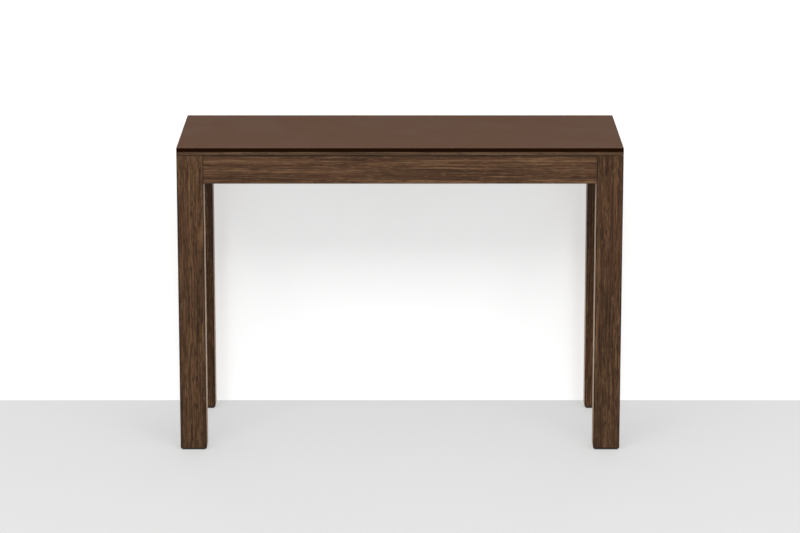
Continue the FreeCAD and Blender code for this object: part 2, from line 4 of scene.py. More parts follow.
import bpy
import numpy as np
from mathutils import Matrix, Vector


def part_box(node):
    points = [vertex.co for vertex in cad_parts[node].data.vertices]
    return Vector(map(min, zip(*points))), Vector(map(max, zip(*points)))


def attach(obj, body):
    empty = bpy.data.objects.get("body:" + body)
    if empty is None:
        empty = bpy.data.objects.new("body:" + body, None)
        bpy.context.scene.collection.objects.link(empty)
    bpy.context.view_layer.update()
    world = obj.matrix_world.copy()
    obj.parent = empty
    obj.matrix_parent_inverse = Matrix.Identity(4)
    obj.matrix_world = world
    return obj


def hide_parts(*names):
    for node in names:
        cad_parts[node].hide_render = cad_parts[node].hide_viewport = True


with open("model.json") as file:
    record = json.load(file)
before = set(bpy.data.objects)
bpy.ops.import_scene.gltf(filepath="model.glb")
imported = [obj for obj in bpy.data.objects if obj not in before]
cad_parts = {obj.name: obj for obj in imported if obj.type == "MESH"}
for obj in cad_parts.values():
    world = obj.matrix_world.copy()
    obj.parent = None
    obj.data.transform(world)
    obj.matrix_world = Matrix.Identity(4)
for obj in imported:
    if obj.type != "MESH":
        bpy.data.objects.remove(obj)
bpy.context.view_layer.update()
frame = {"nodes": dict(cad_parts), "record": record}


def give(tree, node, inputs):
    """Feeds a node: each input is a number, a colour or another node's output socket."""
    for name, value in inputs.items():
        socket = node.inputs[name]
        if isinstance(value, bpy.types.NodeSocket):
            tree.links.new(value, socket)
        else:
            socket.default_value = value


def shade(tree, kind, inputs=None, **settings):
    """Adds one shader node with its settings and feeds its inputs."""
    made = tree.nodes.new(kind)
    for name, value in settings.items():
        setattr(made, name, value)
    give(tree, made, inputs or {})
    return made


def reckon(tree, operation, *terms, clamp=False):
    """One arithmetic step on values, such as MULTIPLY."""
    inputs = dict(enumerate(terms))
    return shade(tree, "ShaderNodeMath", inputs, operation=operation, use_clamp=clamp).outputs[0]


def vectors(tree, operation, *terms):
    """One arithmetic step on vectors, such as MULTIPLY."""
    return shade(tree, "ShaderNodeVectorMath", dict(enumerate(terms)), operation=operation).outputs


def noise(tree, place, waves, detail=2.0, roughness=0.5, output="Fac"):
    """Soft noise with so many waves per metre along X, Y and Z: few waves make it long that way."""
    drawn = vectors(tree, "MULTIPLY", place, waves)[0]
    inputs = {"Vector": drawn, "Scale": 1.0, "Detail": detail, "Roughness": roughness}
    return shade(tree, "ShaderNodeTexNoise", inputs).outputs[output]


def ranged(tree, value, low, high, to_low=0.0, to_high=1.0):
    """A value brought from one range to another with a smooth step, and held at both ends."""
    inputs = {"Value": value, "From Min": low, "From Max": high, "To Min": to_low, "To Max": to_high}
    return shade(tree, "ShaderNodeMapRange", inputs, interpolation_type="SMOOTHSTEP").outputs[0]


def mixed(tree, factor, first, second):
    """One colour going over into another as the factor goes from 0 to 1."""
    inputs = {0: factor, 6: first, 7: second}
    return shade(tree, "ShaderNodeMix", inputs, data_type="RGBA").outputs[2]


def group(name, inputs, outputs):
    """A node group with named sockets: returns its tree, its inputs' sockets and its output node."""
    tree = bpy.data.node_groups.new(name, "ShaderNodeTree")
    for way, sockets in (("INPUT", inputs), ("OUTPUT", outputs)):
        for socket, kind in sockets.items():
            tree.interface.new_socket(socket, in_out=way, socket_type=f"NodeSocket{kind}")
    return tree, tree.nodes.new("NodeGroupInput").outputs, tree.nodes.new("NodeGroupOutput")


def placed(tree, made, **values):
    """A node group placed in a material with its own values; underscores stand for spaces."""
    inputs = {name.replace("_", " ").capitalize(): value for name, value in values.items()}
    return shade(tree, "ShaderNodeGroup", inputs, node_tree=made).outputs


def tone(red, green, blue):
    """A colour written in eight-bit picture values, brought to linear light by the picture curve."""
    parts = np.array([red, green, blue]) / 255
    linear = np.where(parts <= 0.04045, parts / 12.92, ((parts + 0.055) / 1.055) ** 2.4)
    return (*linear.tolist(), 1.0)


# Timber patterns, in waves per metre across the grain, twice, and along it.
SWAY_WAVES = (5.0, 5.0, 1.6)
BAND_WAVES = (64.0, 64.0, 1.4)
STREAK_WAVES = (340.0, 340.0, 3.0)
FIBRE_WAVES = (640.0, 640.0, 16.0)
PORE_WAVES = (540.0, 540.0, 40.0)
FLECK_WAVES = (330.0, 330.0, 44.0)
BLOTCH_WAVES = (13.0, 13.0, 5.0)

# How far the fibres sway, and what streaks, bands and fibres each add to the growth tone.
NOISE_MIDDLE = (0.5, 0.5, 0.5)
SWAY_REACH = (0.03, 0.03, 0.0)
STREAK_SHARE = 0.4
BAND_SHARE = 0.3
FIBRE_SHARE = 0.3

# Ranges over which a mask rises from 0 to 1, or between the two values that end the line.
PORE_CRESTS = (0.56, 0.64)
FLECK_CRESTS = (0.6, 0.68)
LATE_TO_BODY = (0.36, 0.5)
BODY_TO_EARLY = (0.5, 0.62)
BAND_PORES = (0.3, 0.6, 0.5, 1.0)
BLOTCH_BLUSH = (0.4, 0.75, 0.0, 0.4)

# What pores do to the colour and gloss, and fibres to the gloss and height.
PORE_STAIN = 0.85
PORE_MATT = 0.25
FIBRE_MATT = 0.08
FIBRE_HEIGHT = 0.25


def wood_grain():
    """Straight-grained timber with the grain along Z.

    The fibres bend a little by a slow noise added to the place. Growth bands, streaks, ray flecks
    and pores are noises of that place, each stretched along Z by its own waves; pores and flecks
    are the crests of their noise. The colour runs from late wood to early wood by streaks, bands
    and fibres, flecks lift it and pores sink it, and the pores' depth goes out as the height.
    """
    tree, get, result = group(
        "wood_grain",
        {
            "Vector": "Vector", "Dark": "Color", "Body": "Color", "Light": "Color", "Blush": "Color",
            "Pores": "Float", "Flecks": "Float", "Gloss": "Float",
        },
        {"Color": "Color", "Roughness": "Float", "Height": "Float"},
    )
    place = get["Vector"]
    sway = noise(tree, place, SWAY_WAVES, detail=1.0, roughness=0.4, output="Color")
    swing = vectors(tree, "SUBTRACT", sway, NOISE_MIDDLE)[0]
    bent = vectors(tree, "ADD", place, vectors(tree, "MULTIPLY", swing, SWAY_REACH)[0])[0]
    bands = noise(tree, bent, BAND_WAVES)
    streaks = noise(tree, bent, STREAK_WAVES)
    fibres = noise(tree, bent, FIBRE_WAVES, roughness=0.6)
    crests = noise(tree, bent, PORE_WAVES, detail=1.0)
    rays = noise(tree, bent, FLECK_WAVES, detail=1.0)
    blotch = noise(tree, place, BLOTCH_WAVES)
    pores = reckon(tree, "MULTIPLY", ranged(tree, crests, *PORE_CRESTS), get["Pores"])
    pores = reckon(tree, "MULTIPLY", pores, ranged(tree, bands, *BAND_PORES))
    flecks = reckon(tree, "MULTIPLY", ranged(tree, rays, *FLECK_CRESTS), get["Flecks"])
    growth = reckon(tree, "MULTIPLY", streaks, STREAK_SHARE)
    growth = reckon(tree, "ADD", growth, reckon(tree, "MULTIPLY", bands, BAND_SHARE))
    growth = reckon(tree, "ADD", growth, reckon(tree, "MULTIPLY", fibres, FIBRE_SHARE))
    colour = mixed(tree, ranged(tree, growth, *LATE_TO_BODY), get["Dark"], get["Body"])
    colour = mixed(tree, ranged(tree, growth, *BODY_TO_EARLY), colour, get["Light"])
    colour = mixed(tree, ranged(tree, blotch, *BLOTCH_BLUSH), colour, get["Blush"])
    colour = mixed(tree, flecks, colour, get["Light"])
    colour = mixed(tree, reckon(tree, "MULTIPLY", pores, PORE_STAIN, clamp=True), colour, get["Dark"])
    matt = reckon(tree, "ADD", get["Gloss"], reckon(tree, "MULTIPLY", pores, PORE_MATT))
    matt = reckon(tree, "ADD", matt, reckon(tree, "MULTIPLY", fibres, FIBRE_MATT))
    height = reckon(tree, "SUBTRACT", reckon(tree, "MULTIPLY", fibres, FIBRE_HEIGHT), pores)
    give(tree, result, {"Color": colour, "Roughness": matt, "Height": height})
    return tree


# Edge masks: the parting of two normals, or the lean of one, over which a mask rises from 0 to 1.
RUBBED_SAMPLES = 6
RUBBED_PARTING = (0.01, 0.2)
RUBBED_WAVES = (60.0, 60.0, 60.0)
RUBBED_PATCHES = (0.3, 0.65, 0.35, 1.0)
EASED_LEAN = (0.003, 0.08)


def rubbed_edge():
    """A mask that is 1 on a rounded or sharp edge and 0 on a flat face.

    The shading normal eased over a small radius leaves the true normal only near an edge, so one
    minus their dot product, brought to 0 to 1 and broken up by a noise, marks where hands rub.
    """
    tree, get, result = group(
        "rubbed_edge", {"Vector": "Vector", "Radius": "Float", "Amount": "Float"}, {"Mask": "Float"})
    eased = shade(tree, "ShaderNodeBevel", {"Radius": get["Radius"]}, samples=RUBBED_SAMPLES)
    true = shade(tree, "ShaderNodeNewGeometry")
    along = vectors(tree, "DOT_PRODUCT", eased.outputs["Normal"], true.outputs["Normal"])["Value"]
    mask = ranged(tree, reckon(tree, "SUBTRACT", 1.0, along), *RUBBED_PARTING)
    patches = noise(tree, get["Vector"], RUBBED_WAVES, detail=3.0)
    mask = reckon(tree, "MULTIPLY", mask, ranged(tree, patches, *RUBBED_PATCHES))
    give(tree, result, {"Mask": reckon(tree, "MULTIPLY", mask, get["Amount"])})
    return tree


def painted_edge_shade():
    """A mask of the rounded edges of squared boards, where the timber gets a painted shade.

    A flat face of a squared board has a normal along X, Y or Z, and a rounded edge lies between
    two of them, so one minus the largest part of the normal is 0 on faces and rises on edges.
    """
    tree, get, result = group("painted_edge_shade", {"Amount": "Float"}, {"Mask": "Float"})
    normal = shade(tree, "ShaderNodeNewGeometry").outputs["True Normal"]
    x, y, z = shade(tree, "ShaderNodeSeparateXYZ", {0: vectors(tree, "ABSOLUTE", normal)[0]}).outputs
    largest = reckon(tree, "MAXIMUM", reckon(tree, "MAXIMUM", x, y), z)
    mask = ranged(tree, reckon(tree, "SUBTRACT", 1.0, largest), *EASED_LEAN)
    give(tree, result, {"Mask": reckon(tree, "MULTIPLY", mask, get["Amount"])})
    return tree


def surface_marks():
    """Slow cloudy marks and fine specks for a smooth finish, as two noises of the place."""
    tree, get, result = group(
        "surface_marks",
        {"Vector": "Vector", "Cloud size": "Float", "Speck size": "Float"},
        {"Cloud": "Float", "Speck": "Float"},
    )
    for mark, detail in (("Cloud", 4.0), ("Speck", 1.0)):
        scale = reckon(tree, "DIVIDE", 1.0, get[f"{mark} size"])
        inputs = {"Vector": get["Vector"], "Scale": scale, "Detail": detail}
        give(tree, result, {mark: shade(tree, "ShaderNodeTexNoise", inputs).outputs["Fac"]})
    return tree


GRAIN = wood_grain()
EDGE = rubbed_edge()
EDGE_SHADING = painted_edge_shade()
MARKS = surface_marks()


def blank(name):
    """A new material with a Principled shader: returns it, its tree, the shader and the place."""
    material = bpy.data.materials.new(name)
    material.use_nodes = True
    tree = material.node_tree
    place = shade(tree, "ShaderNodeTexCoord").outputs["Object"]
    return material, tree, tree.nodes["Principled BSDF"], place


def bump(tree, shader, height, depth):
    """A bump of the given depth in metres on the shader's normal."""
    inputs = {"Height": height, "Distance": depth, "Strength": 1.0}
    give(tree, shader, {"Normal": shade(tree, "ShaderNodeBump", inputs).outputs["Normal"]})


# Timber: turns that bring X, Y or Z onto the grain, and tones of late wood, body, early wood,
# blush and the painted shade on rounded edges and joints.
UPRIGHT = (0.0, 0.0, 0.0)
LENGTHWISE = (0.0, math.radians(90), 0.0)
CROSSWISE = (math.radians(90), 0.0, 0.0)
STAIN = (tone(34, 20, 10), tone(83, 57, 37), tone(130, 98, 70), tone(82, 53, 35), tone(20, 11, 5))
STAIN_LEG = (tone(33, 19, 9), tone(77, 52, 32), tone(123, 91, 62), tone(77, 48, 30), tone(20, 11, 5))
STAIN_PANEL = (
    tone(44, 28, 16), tone(79, 58, 40), tone(110, 84, 61), tone(80, 56, 39), tone(36, 22, 12))
BEECH = (
    tone(170, 128, 92), tone(204, 166, 126), tone(222, 190, 152), tone(206, 160, 122), tone(150, 110, 76))
FIBRE_SHEEN = {"Sheen Weight": 0.45, "Sheen Roughness": 0.3, "Sheen Tint": tone(255, 205, 150)}
TIMBER_SPECULAR = 0.18
PORE_DEPTH = 0.00012


def timber(name, turn, shift, tones, pores, flecks, gloss, shade_amount):
    """A timber finish with the grain along the axis that the turn brings onto Z.

    Its rounded edges take a painted shade, which also darkens the joints between parts, and the fibres
    give a warm sheen at a low angle.
    """
    material, tree, shader, place = blank(name)
    inputs = {"Vector": place, "Location": shift, "Rotation": turn}
    lined = shade(tree, "ShaderNodeMapping", inputs).outputs[0]
    dark, body, light, blush, shade_tone = tones
    grain = placed(tree, GRAIN, vector=lined, dark=dark, body=body, light=light, blush=blush,
                   pores=pores, flecks=flecks, gloss=gloss)
    edge = placed(tree, EDGE_SHADING, amount=shade_amount)
    # Painted shade: the rounded edges, and the joints between parts, darken towards the last tone.
    colour = mixed(tree, edge["Mask"], grain["Color"], shade_tone)
    give(tree, shader, {"Base Color": colour, "Roughness": grain["Roughness"]})
    give(tree, shader, {"Specular IOR Level": TIMBER_SPECULAR, **FIBRE_SHEEN})
    bump(tree, shader, grain["Height"], PORE_DEPTH)
    return material


# Glass: the depths below its top at which the polished edge starts and the satin face ends.
GLASS_EDGE_DEPTH = 0.0007
GLASS_FACE_DEPTH = 0.0002
GLASS_EDGE = tone(32, 13, 3)
GLASS_SATIN = (tone(79, 52, 33), tone(83, 56, 37))
GLASS_SPECK = tone(92, 65, 46)
GLASS_SPECKLE = (0.45, 0.8, 0.0, 0.2)
GLASS_WEAR = (0.3, 0.7, 0.5, 0.56)
GLASS_EDGE_ROUGHNESS = 0.1
GLASS_SPECULAR = 0.012
GLASS_ETCH = 0.00002


def brown_glass():
    """Etched brown glass: a satin face above its polished edge, told apart by the height."""
    material, tree, shader, place = blank("etched_brown_glass")
    top = float(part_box("glass_top")[1].z)
    height = shade(tree, "ShaderNodeSeparateXYZ", {0: place}).outputs["Z"]
    face = ranged(tree, height, top - GLASS_EDGE_DEPTH, top - GLASS_FACE_DEPTH)
    marks = placed(tree, MARKS, vector=place, cloud_size=0.12, speck_size=0.0007)
    satin = mixed(tree, marks["Cloud"], *GLASS_SATIN)
    satin = mixed(tree, ranged(tree, marks["Speck"], *GLASS_SPECKLE), satin, GLASS_SPECK)
    worn = reckon(tree, "SUBTRACT", ranged(tree, marks["Cloud"], *GLASS_WEAR), GLASS_EDGE_ROUGHNESS)
    give(tree, shader, {
        "Base Color": mixed(tree, face, GLASS_EDGE, satin),
        "Roughness": reckon(tree, "ADD", GLASS_EDGE_ROUGHNESS, reckon(tree, "MULTIPLY", face, worn)),
        "Specular IOR Level": GLASS_SPECULAR,
    })
    bump(tree, shader, reckon(tree, "MULTIPLY", marks["Speck"], face), GLASS_ETCH)
    return material


# Rails: die lines that run along Y, cloudy patches and bright edges.
DIE_WAVES = (1600.0, 5.0, 1600.0)
DIE_DEPTH = 0.00003
DIE_GLOSS = (0.25, 0.75, 0.3, 0.46)
RAIL_TONES = (tone(158, 159, 161), tone(188, 189, 191))
RAIL_CLOUD = tone(150, 152, 155)
RAIL_CLOUDING = (0.35, 0.75, 0.0, 0.3)
RAIL_CLOUD_MATT = 0.08
RAIL_EDGE = tone(214, 215, 216)


def rail_aluminium():
    """Drawn, anodised aluminium with fine die lines along the rail."""
    material, tree, shader, place = blank("anodised_rail")
    lines = noise(tree, place, DIE_WAVES, detail=3.0, roughness=0.6)
    marks = placed(tree, MARKS, vector=place, cloud_size=0.05, speck_size=0.0015)
    edge = placed(tree, EDGE, vector=place, radius=0.0008, amount=0.6)
    colour = mixed(tree, lines, *RAIL_TONES)
    colour = mixed(tree, ranged(tree, marks["Cloud"], *RAIL_CLOUDING), colour, RAIL_CLOUD)
    cloudy = reckon(tree, "MULTIPLY", marks["Cloud"], RAIL_CLOUD_MATT)
    give(tree, shader, {
        "Base Color": mixed(tree, edge["Mask"], colour, RAIL_EDGE),
        "Roughness": reckon(tree, "ADD", ranged(tree, lines, *DIE_GLOSS), cloudy),
        "Metallic": 1.0,
    })
    bump(tree, shader, lines, DIE_DEPTH)
    return material


# Zinc coat: crystals per metre, their tones and gloss, yellowed patches and bright edges.
ZINC_CRYSTALS = 420.0
ZINC_TONES = (tone(176, 180, 184), tone(204, 206, 206))
ZINC_GLOSS = (0.0, 1.0, 0.26, 0.42)
ZINC_YELLOW = tone(196, 192, 176)
ZINC_YELLOWING = (0.45, 0.8, 0.0, 0.4)
ZINC_CLOUD_MATT = 0.12
ZINC_EDGE = tone(226, 227, 228)
ZINC_GRIT = 0.00002


def zinc_steel():
    """Pressed steel with a bright zinc coat: small crystal patches that differ in tone and gloss."""
    material, tree, shader, place = blank("zinc_plate")
    inputs = {"Vector": place, "Scale": ZINC_CRYSTALS, "Randomness": 1.0}
    patch = shade(tree, "ShaderNodeTexVoronoi", inputs).outputs["Color"]
    patch = shade(tree, "ShaderNodeSeparateColor", {0: patch}).outputs[0]
    marks = placed(tree, MARKS, vector=place, cloud_size=0.012, speck_size=0.0006)
    edge = placed(tree, EDGE, vector=place, radius=0.0006, amount=0.7)
    colour = mixed(tree, patch, *ZINC_TONES)
    colour = mixed(tree, ranged(tree, marks["Cloud"], *ZINC_YELLOWING), colour, ZINC_YELLOW)
    cloudy = reckon(tree, "MULTIPLY", marks["Cloud"], ZINC_CLOUD_MATT)
    give(tree, shader, {
        "Base Color": mixed(tree, edge["Mask"], colour, ZINC_EDGE),
        "Roughness": reckon(tree, "ADD", ranged(tree, patch, *ZINC_GLOSS), cloudy),
        "Metallic": 1.0,
    })
    bump(tree, shader, marks["Speck"], ZINC_GRIT)
    return material


# Moulded pieces: how cloudy marks pale the skin, and how specks change its roughness.
MOULD_CLOUDING = (0.3, 0.7, 0.0, 0.5)
MOULD_SPECKLE = (0.2, 0.8)
MOULD_ROUGHNESS_SPREAD = 0.06


def moulded(name, base, high, roughness, grain_size, depth):
    """Moulded plastic or rubber: a fine pebbled skin with cloudy marks and paler rubbed edges."""
    material, tree, shader, place = blank(name)
    inputs = {"Vector": place, "Scale": 1.0 / grain_size}
    pebble = shade(tree, "ShaderNodeTexVoronoi", inputs, feature="SMOOTH_F1").outputs["Distance"]
    marks = placed(tree, MARKS, vector=place, cloud_size=0.01, speck_size=0.0008)
    edge = placed(tree, EDGE, vector=place, radius=0.0006, amount=0.5)
    colour = mixed(tree, ranged(tree, marks["Cloud"], *MOULD_CLOUDING), base, high)
    smooth, coarse = roughness - MOULD_ROUGHNESS_SPREAD, roughness + MOULD_ROUGHNESS_SPREAD
    give(tree, shader, {
        "Base Color": mixed(tree, edge["Mask"], colour, high),
        "Roughness": ranged(tree, marks["Speck"], *MOULD_SPECKLE, smooth, coarse),
    })
    bump(tree, shader, pebble, depth)
    return material


# Each timber's last value sets how far its rounded edges darken towards the painted shade.
FINISHES = {
    "oak_upright": timber("stained_oak_upright", UPRIGHT, shift=(0.1, 1.4, 0.5), tones=STAIN_LEG,
                          pores=0.9, flecks=0.45, gloss=0.34, shade_amount=0.9),
    "oak_rear_left": timber("stained_oak_rear_left", UPRIGHT, shift=(2.4, 2.1, 0.7), tones=STAIN_LEG,
                            pores=0.9, flecks=0.45, gloss=0.34, shade_amount=0.9),
    "oak_rear_right": timber("stained_oak_rear_right", UPRIGHT, shift=(2.2, 0.9, 2.9), tones=STAIN_LEG,
                             pores=0.9, flecks=0.45, gloss=0.34, shade_amount=0.9),
    "oak_length": timber("stained_oak_length", LENGTHWISE, shift=(0.4, 1.3, 2.3), tones=STAIN,
                         pores=0.55, flecks=0.4, gloss=0.34, shade_amount=0.9),
    "oak_cross": timber("stained_oak_cross", CROSSWISE, shift=(0.1, 0.4, 0.0), tones=STAIN,
                        pores=0.55, flecks=0.4, gloss=0.34, shade_amount=0.9),
    "oak_panel": timber("stained_oak_panel", LENGTHWISE, shift=(0.7, 0.2, 0.0), tones=STAIN_PANEL,
                        pores=0.6, flecks=0.2, gloss=0.44, shade_amount=0.4),
    "beech": timber("plain_beech", LENGTHWISE, shift=(0.0, 0.3, 0.0), tones=BEECH,
                    pores=0.15, flecks=0.5, gloss=0.5, shade_amount=0.2),
    "glass": brown_glass(),
    "aluminium": rail_aluminium(),
    "zinc": zinc_steel(),
    "nylon": moulded("glide_nylon", base=tone(222, 219, 208), high=tone(236, 234, 226),
                     roughness=0.42, grain_size=0.0009, depth=0.00003),
    "foot": moulded("foot_plastic", base=tone(30, 29, 28), high=tone(52, 50, 48),
                    roughness=0.5, grain_size=0.0011, depth=0.00006),
    "rubber": moulded("bumper_rubber", base=tone(36, 34, 32), high=tone(58, 55, 52),
                      roughness=0.78, grain_size=0.0014, depth=0.00005),
}


def finish_of(node):
    """The finish of a node, told from its name; rails and their glides can end in a number."""
    endings = (
        ("glass_top", "glass"), ("top_panel", "oak_panel"), ("rear_left_leg", "oak_rear_left"),
        ("rear_right_leg", "oak_rear_right"), ("_leg", "oak_upright"),
        ("_side_apron", "oak_cross"), ("_apron", "oak_length"), ("cross_rail", "beech"),
        ("_dowels", "beech"), ("_feet", "foot"), ("bumpers", "rubber"), ("glides", "nylon"),
        ("spacers", "nylon"), ("pads", "nylon"), ("brackets", "zinc"), ("bolts", "zinc"),
        ("screws", "zinc"), ("angles", "zinc"), ("clips", "zinc"), ("_rail", "aluminium"),
    )
    for ending, finish in endings:
        if node.endswith(ending):
            return finish
    return "nylon" if "glides" in node else "aluminium"


for node_name, node in frame["nodes"].items():
    node.data.materials.clear()
    node.data.materials.append(FINISHES[finish_of(node_name)])


# Fasteners are rings about an axis, each with a radius and a height at every step of a turn.
STEP = math.radians(15)
TURN = np.arange(0.0, 2 * math.pi - STEP / 2, STEP)

# Threads: rings in one pitch, the width of a ridge in pitches, and how thin a point ends.
THREAD_RINGS = 6
RIDGE_WIDTH = 0.5
POINT_TIP = 0.1

# Screw heads, as shares of the head's height or radius, and the plain neck below them.
HEAD_RIM = 0.25
HEAD_CROWN = np.array([[0.96], [0.84], [0.68]])
RECESS_FLOOR = 0.3
RECESS_TAPER = 0.8
NECK_LENGTH = 0.001

# Wood screws and rail bolts: pitch, and the root, drive and point as shares of the shank or head.
WOOD_PITCH = 0.0018
WOOD_ROOT = 0.66
WOOD_CROSS = 0.55
WOOD_POINT = 2.2
RAIL_BOLT_PITCH = 0.0008
RAIL_BOLT_ROOT = 0.84
RAIL_BOLT_SOCKET = 0.42

# Hanger bolts: one end threaded for wood, a waist, and the rest threaded for the nut.
HANGER_WOOD_PITCH = 0.0032
HANGER_WOOD_ROOT = 0.7
HANGER_WAIST = 0.9
HANGER_WAIST_LENGTH = 0.003
HANGER_BOLT_PITCH = 0.00125
HANGER_BOLT_ROOT = 0.84
HANGER_BOLT_SHARE = 0.58
HANGER_END = 0.7
HANGER_CHAMFER = 0.0008

# Nuts: the round face of a six-sided one, its corners' slope, and a square plate's bevel.
NUT_FACE = 0.96
NUT_CHAMFER = math.radians(30)
PLATE_BEVEL = 0.0003

# How plain pins are read, and the angle up to which threaded faces are shaded as one.
RIM_SHARE = 0.98
TIP_LENGTH = 0.0005
SMOOTH_ANGLE = math.radians(40)


def rings(radius, height):
    """Rings from radii and heights.

    Both are numbers, arrays of one value per step of the turn, or columns of one value per ring.
    """
    full = np.broadcast_arrays(radius, height, np.zeros((1, len(TURN))))
    return np.stack(full[:2], -1)


def sided(count):
    """The outline of a regular figure, 1 to its flats: 1 over the cosine of the angle from a flat."""
    half = math.pi / count
    return 1.0 / np.cos((TURN + half) % (2 * half) - half)


def crossed():
    """The outline of a cross with arms of length 1.

    It is 1 over the cosine on an arm's end. Beside the arm it is the arm's half width, which is
    the tangent of one step, over the sine of the angle from the arm.
    """
    angle = np.abs((TURN + math.pi / 4) % (math.pi / 2) - math.pi / 4)
    beside = math.tan(STEP) / np.sin(np.maximum(angle, STEP))
    return np.where(angle < 1.01 * STEP, 1.0 / np.cos(angle), beside)


def thread(low, high, pitch, root, crest, point=0.0):
    """Thread rings from low to high.

    The radius is the root plus a ridge that climbs one pitch a turn, drawn in over the point.
    """
    height = np.arange(low, high, pitch / THREAD_RINGS)[:, None]
    climb = (height / pitch - TURN / (2 * math.pi)) % 1.0
    ridge = np.maximum(0.0, 1.0 - np.abs(climb - 0.5) / (RIDGE_WIDTH / 2))
    drawn = np.clip((height - low) / point, POINT_TIP, 1.0) if point else 1.0
    return rings(drawn * (root + (crest - root) * ridge), height)


def headed(reach, shank, head, rise, pitch, root, drive, point):
    """A screw with its seat at height 0.

    It is thread, neck, and a head domed as an ellipse with a recess of the drive's outline.
    """
    def dome(radius):
        return rise * (HEAD_RIM + (1.0 - HEAD_RIM) * np.sqrt(1.0 - (radius / head) ** 2))

    neck = root * shank
    crown = head * HEAD_CROWN
    recess = head * drive
    return np.concatenate([
        thread(-reach, -NECK_LENGTH, pitch, neck, shank, point),
        rings(neck, -NECK_LENGTH), rings(neck, 0.0),
        rings(head, 0.0), rings(head, HEAD_RIM * rise), rings(crown, dome(crown)),
        rings(recess, dome(recess)), rings(RECESS_TAPER * recess, RECESS_FLOOR * rise),
    ])


def hanger(length, radius):
    """A bolt without a head, from its middle: wood thread to its point, machine thread to its end."""
    low, high = -length / 2, length / 2
    change = high - HANGER_BOLT_SHARE * length
    waist = change - HANGER_WAIST_LENGTH
    end = high - HANGER_CHAMFER
    return np.concatenate([
        thread(low, waist, HANGER_WOOD_PITCH, HANGER_WOOD_ROOT * radius, radius, 2 * radius),
        rings(HANGER_WAIST * radius, waist), rings(HANGER_WAIST * radius, change),
        thread(change, end, HANGER_BOLT_PITCH, HANGER_BOLT_ROOT * radius, radius),
        rings(HANGER_BOLT_ROOT * radius, end), rings(HANGER_END * radius, high),
    ])


def hex_nut(bore, flat, thick):
    """A six-sided nut from its middle, whose corners are cut by a cone at both faces."""
    face = NUT_FACE * flat
    corner = flat * sided(6)
    cut = (corner - face) * math.tan(NUT_CHAMFER)
    half = thick / 2
    return np.concatenate([
        rings(bore, -half), rings(face, -half), rings(corner, cut - half),
        rings(corner, half - cut), rings(face, half), rings(bore, half),
    ])


def plate_nut(bore, flat, thick):
    """A square nut plate from its middle, with a small bevel along its edges."""
    edge = flat * sided(4)
    inner = edge - PLATE_BEVEL
    half = thick / 2
    return np.concatenate([
        rings(bore, -half), rings(inner, -half), rings(edge, PLATE_BEVEL - half),
        rings(edge, half - PLATE_BEVEL), rings(inner, half), rings(bore, half),
    ])


def turned(profile, bored):
    """Points and faces of stacked rings.

    A point is its radius times the cosine and sine of the turn, at its height. A bored piece
    joins its last ring to its first, and the others have end caps.
    """
    radius, height = profile[..., 0], profile[..., 1]
    points = np.stack([radius * np.cos(TURN), radius * np.sin(TURN), height], -1).reshape(-1, 3)
    index = np.arange(radius.size).reshape(radius.shape)
    low = index if bored else index[:-1]
    high = np.roll(index, -1, 0) if bored else index[1:]
    quads = np.stack([low, np.roll(low, -1, 1), np.roll(high, -1, 1), high], -1).reshape(-1, 4).tolist()
    caps = [] if bored else [index[0][::-1].tolist(), index[-1].tolist()]
    return points, quads + caps


def solids_of(node):
    """The separate solids of a node, each as its points.

    Corners at one place are one point. The lowest label of each triangle spreads over its points
    until every solid has one label.
    """
    mesh = frame["nodes"][node].data
    places = np.empty(3 * len(mesh.vertices), np.float32)
    mesh.vertices.foreach_get("co", places)
    corners = np.empty(len(mesh.loops), np.int32)
    mesh.loops.foreach_get("vertex_index", corners)
    points, same = np.unique(places.astype(float).reshape(-1, 3).round(6), axis=0, return_inverse=True)
    triangles = same.reshape(-1)[corners].reshape(-1, 3)
    labels = np.arange(len(points))
    while True:
        lowest = labels.copy()
        np.minimum.at(lowest, triangles, labels[triangles].min(1, keepdims=True))
        if (lowest == labels).all():
            return [points[labels == label] for label in np.unique(labels)]
        labels = lowest


def measured(points, axis):
    """A solid's middle, and its points' places along an axis through the middle and out from it."""
    middle = (points.min(0) + points.max(0)) / 2
    along = (points - middle) @ axis
    return middle, along, points - middle - along[:, None] * axis


def set_along(points, origin, axis, side):
    """Points of a turned piece with its axis along one direction and its first step towards a side."""
    return origin + points @ np.array([side, np.cross(axis, side), axis])


def pin_axis(points):
    """The axis of a headed pin or nut that lies square, along which its box has the odd size."""
    size = np.ptp(points, 0)
    return np.eye(3)[np.argmax(np.abs(size - np.median(size)))]


def set_pin(points, pitch, root, drive, point):
    """A screw in the place of a plain headed pin, whose widest points tell its head's end and seat."""
    axis = pin_axis(points)
    middle, along, out = measured(points, axis)
    spread = np.linalg.norm(out, axis=1)
    head = spread.max()
    rim = spread > RIM_SHARE * head
    axis = axis * np.sign(along[rim].mean())
    along = (points - middle) @ axis
    seat = along[rim].min()
    shank = spread[along < along.min() + TIP_LENGTH].max()
    reach, rise = seat - along.min(), along.max() - seat
    made, faces = turned(headed(reach, shank, head, rise, pitch, root, drive, point * shank), False)
    return set_along(made, middle + seat * axis, axis, np.roll(axis, 1)), faces


def set_nut(points, axis, shape, count):
    """A nut in the place of a plain drilled one.

    The farthest point from the axis is a corner, and the nearest is on the bore.
    """
    middle, along, out = measured(points, axis)
    spread = np.linalg.norm(out, axis=1)
    corner = out[spread.argmax()] / spread.max()
    half = math.pi / count
    side = corner * math.cos(half) + np.cross(axis, corner) * math.sin(half)
    made, faces = turned(shape(spread.min(), spread.max() * math.cos(half), np.ptp(along)), True)
    return set_along(made, middle, axis, side), faces


def wood_screws(solids):
    """Domed screws with a cross recess and a point."""
    recess = WOOD_CROSS * crossed()
    return [set_pin(points, WOOD_PITCH, WOOD_ROOT, recess, WOOD_POINT) for points in solids]


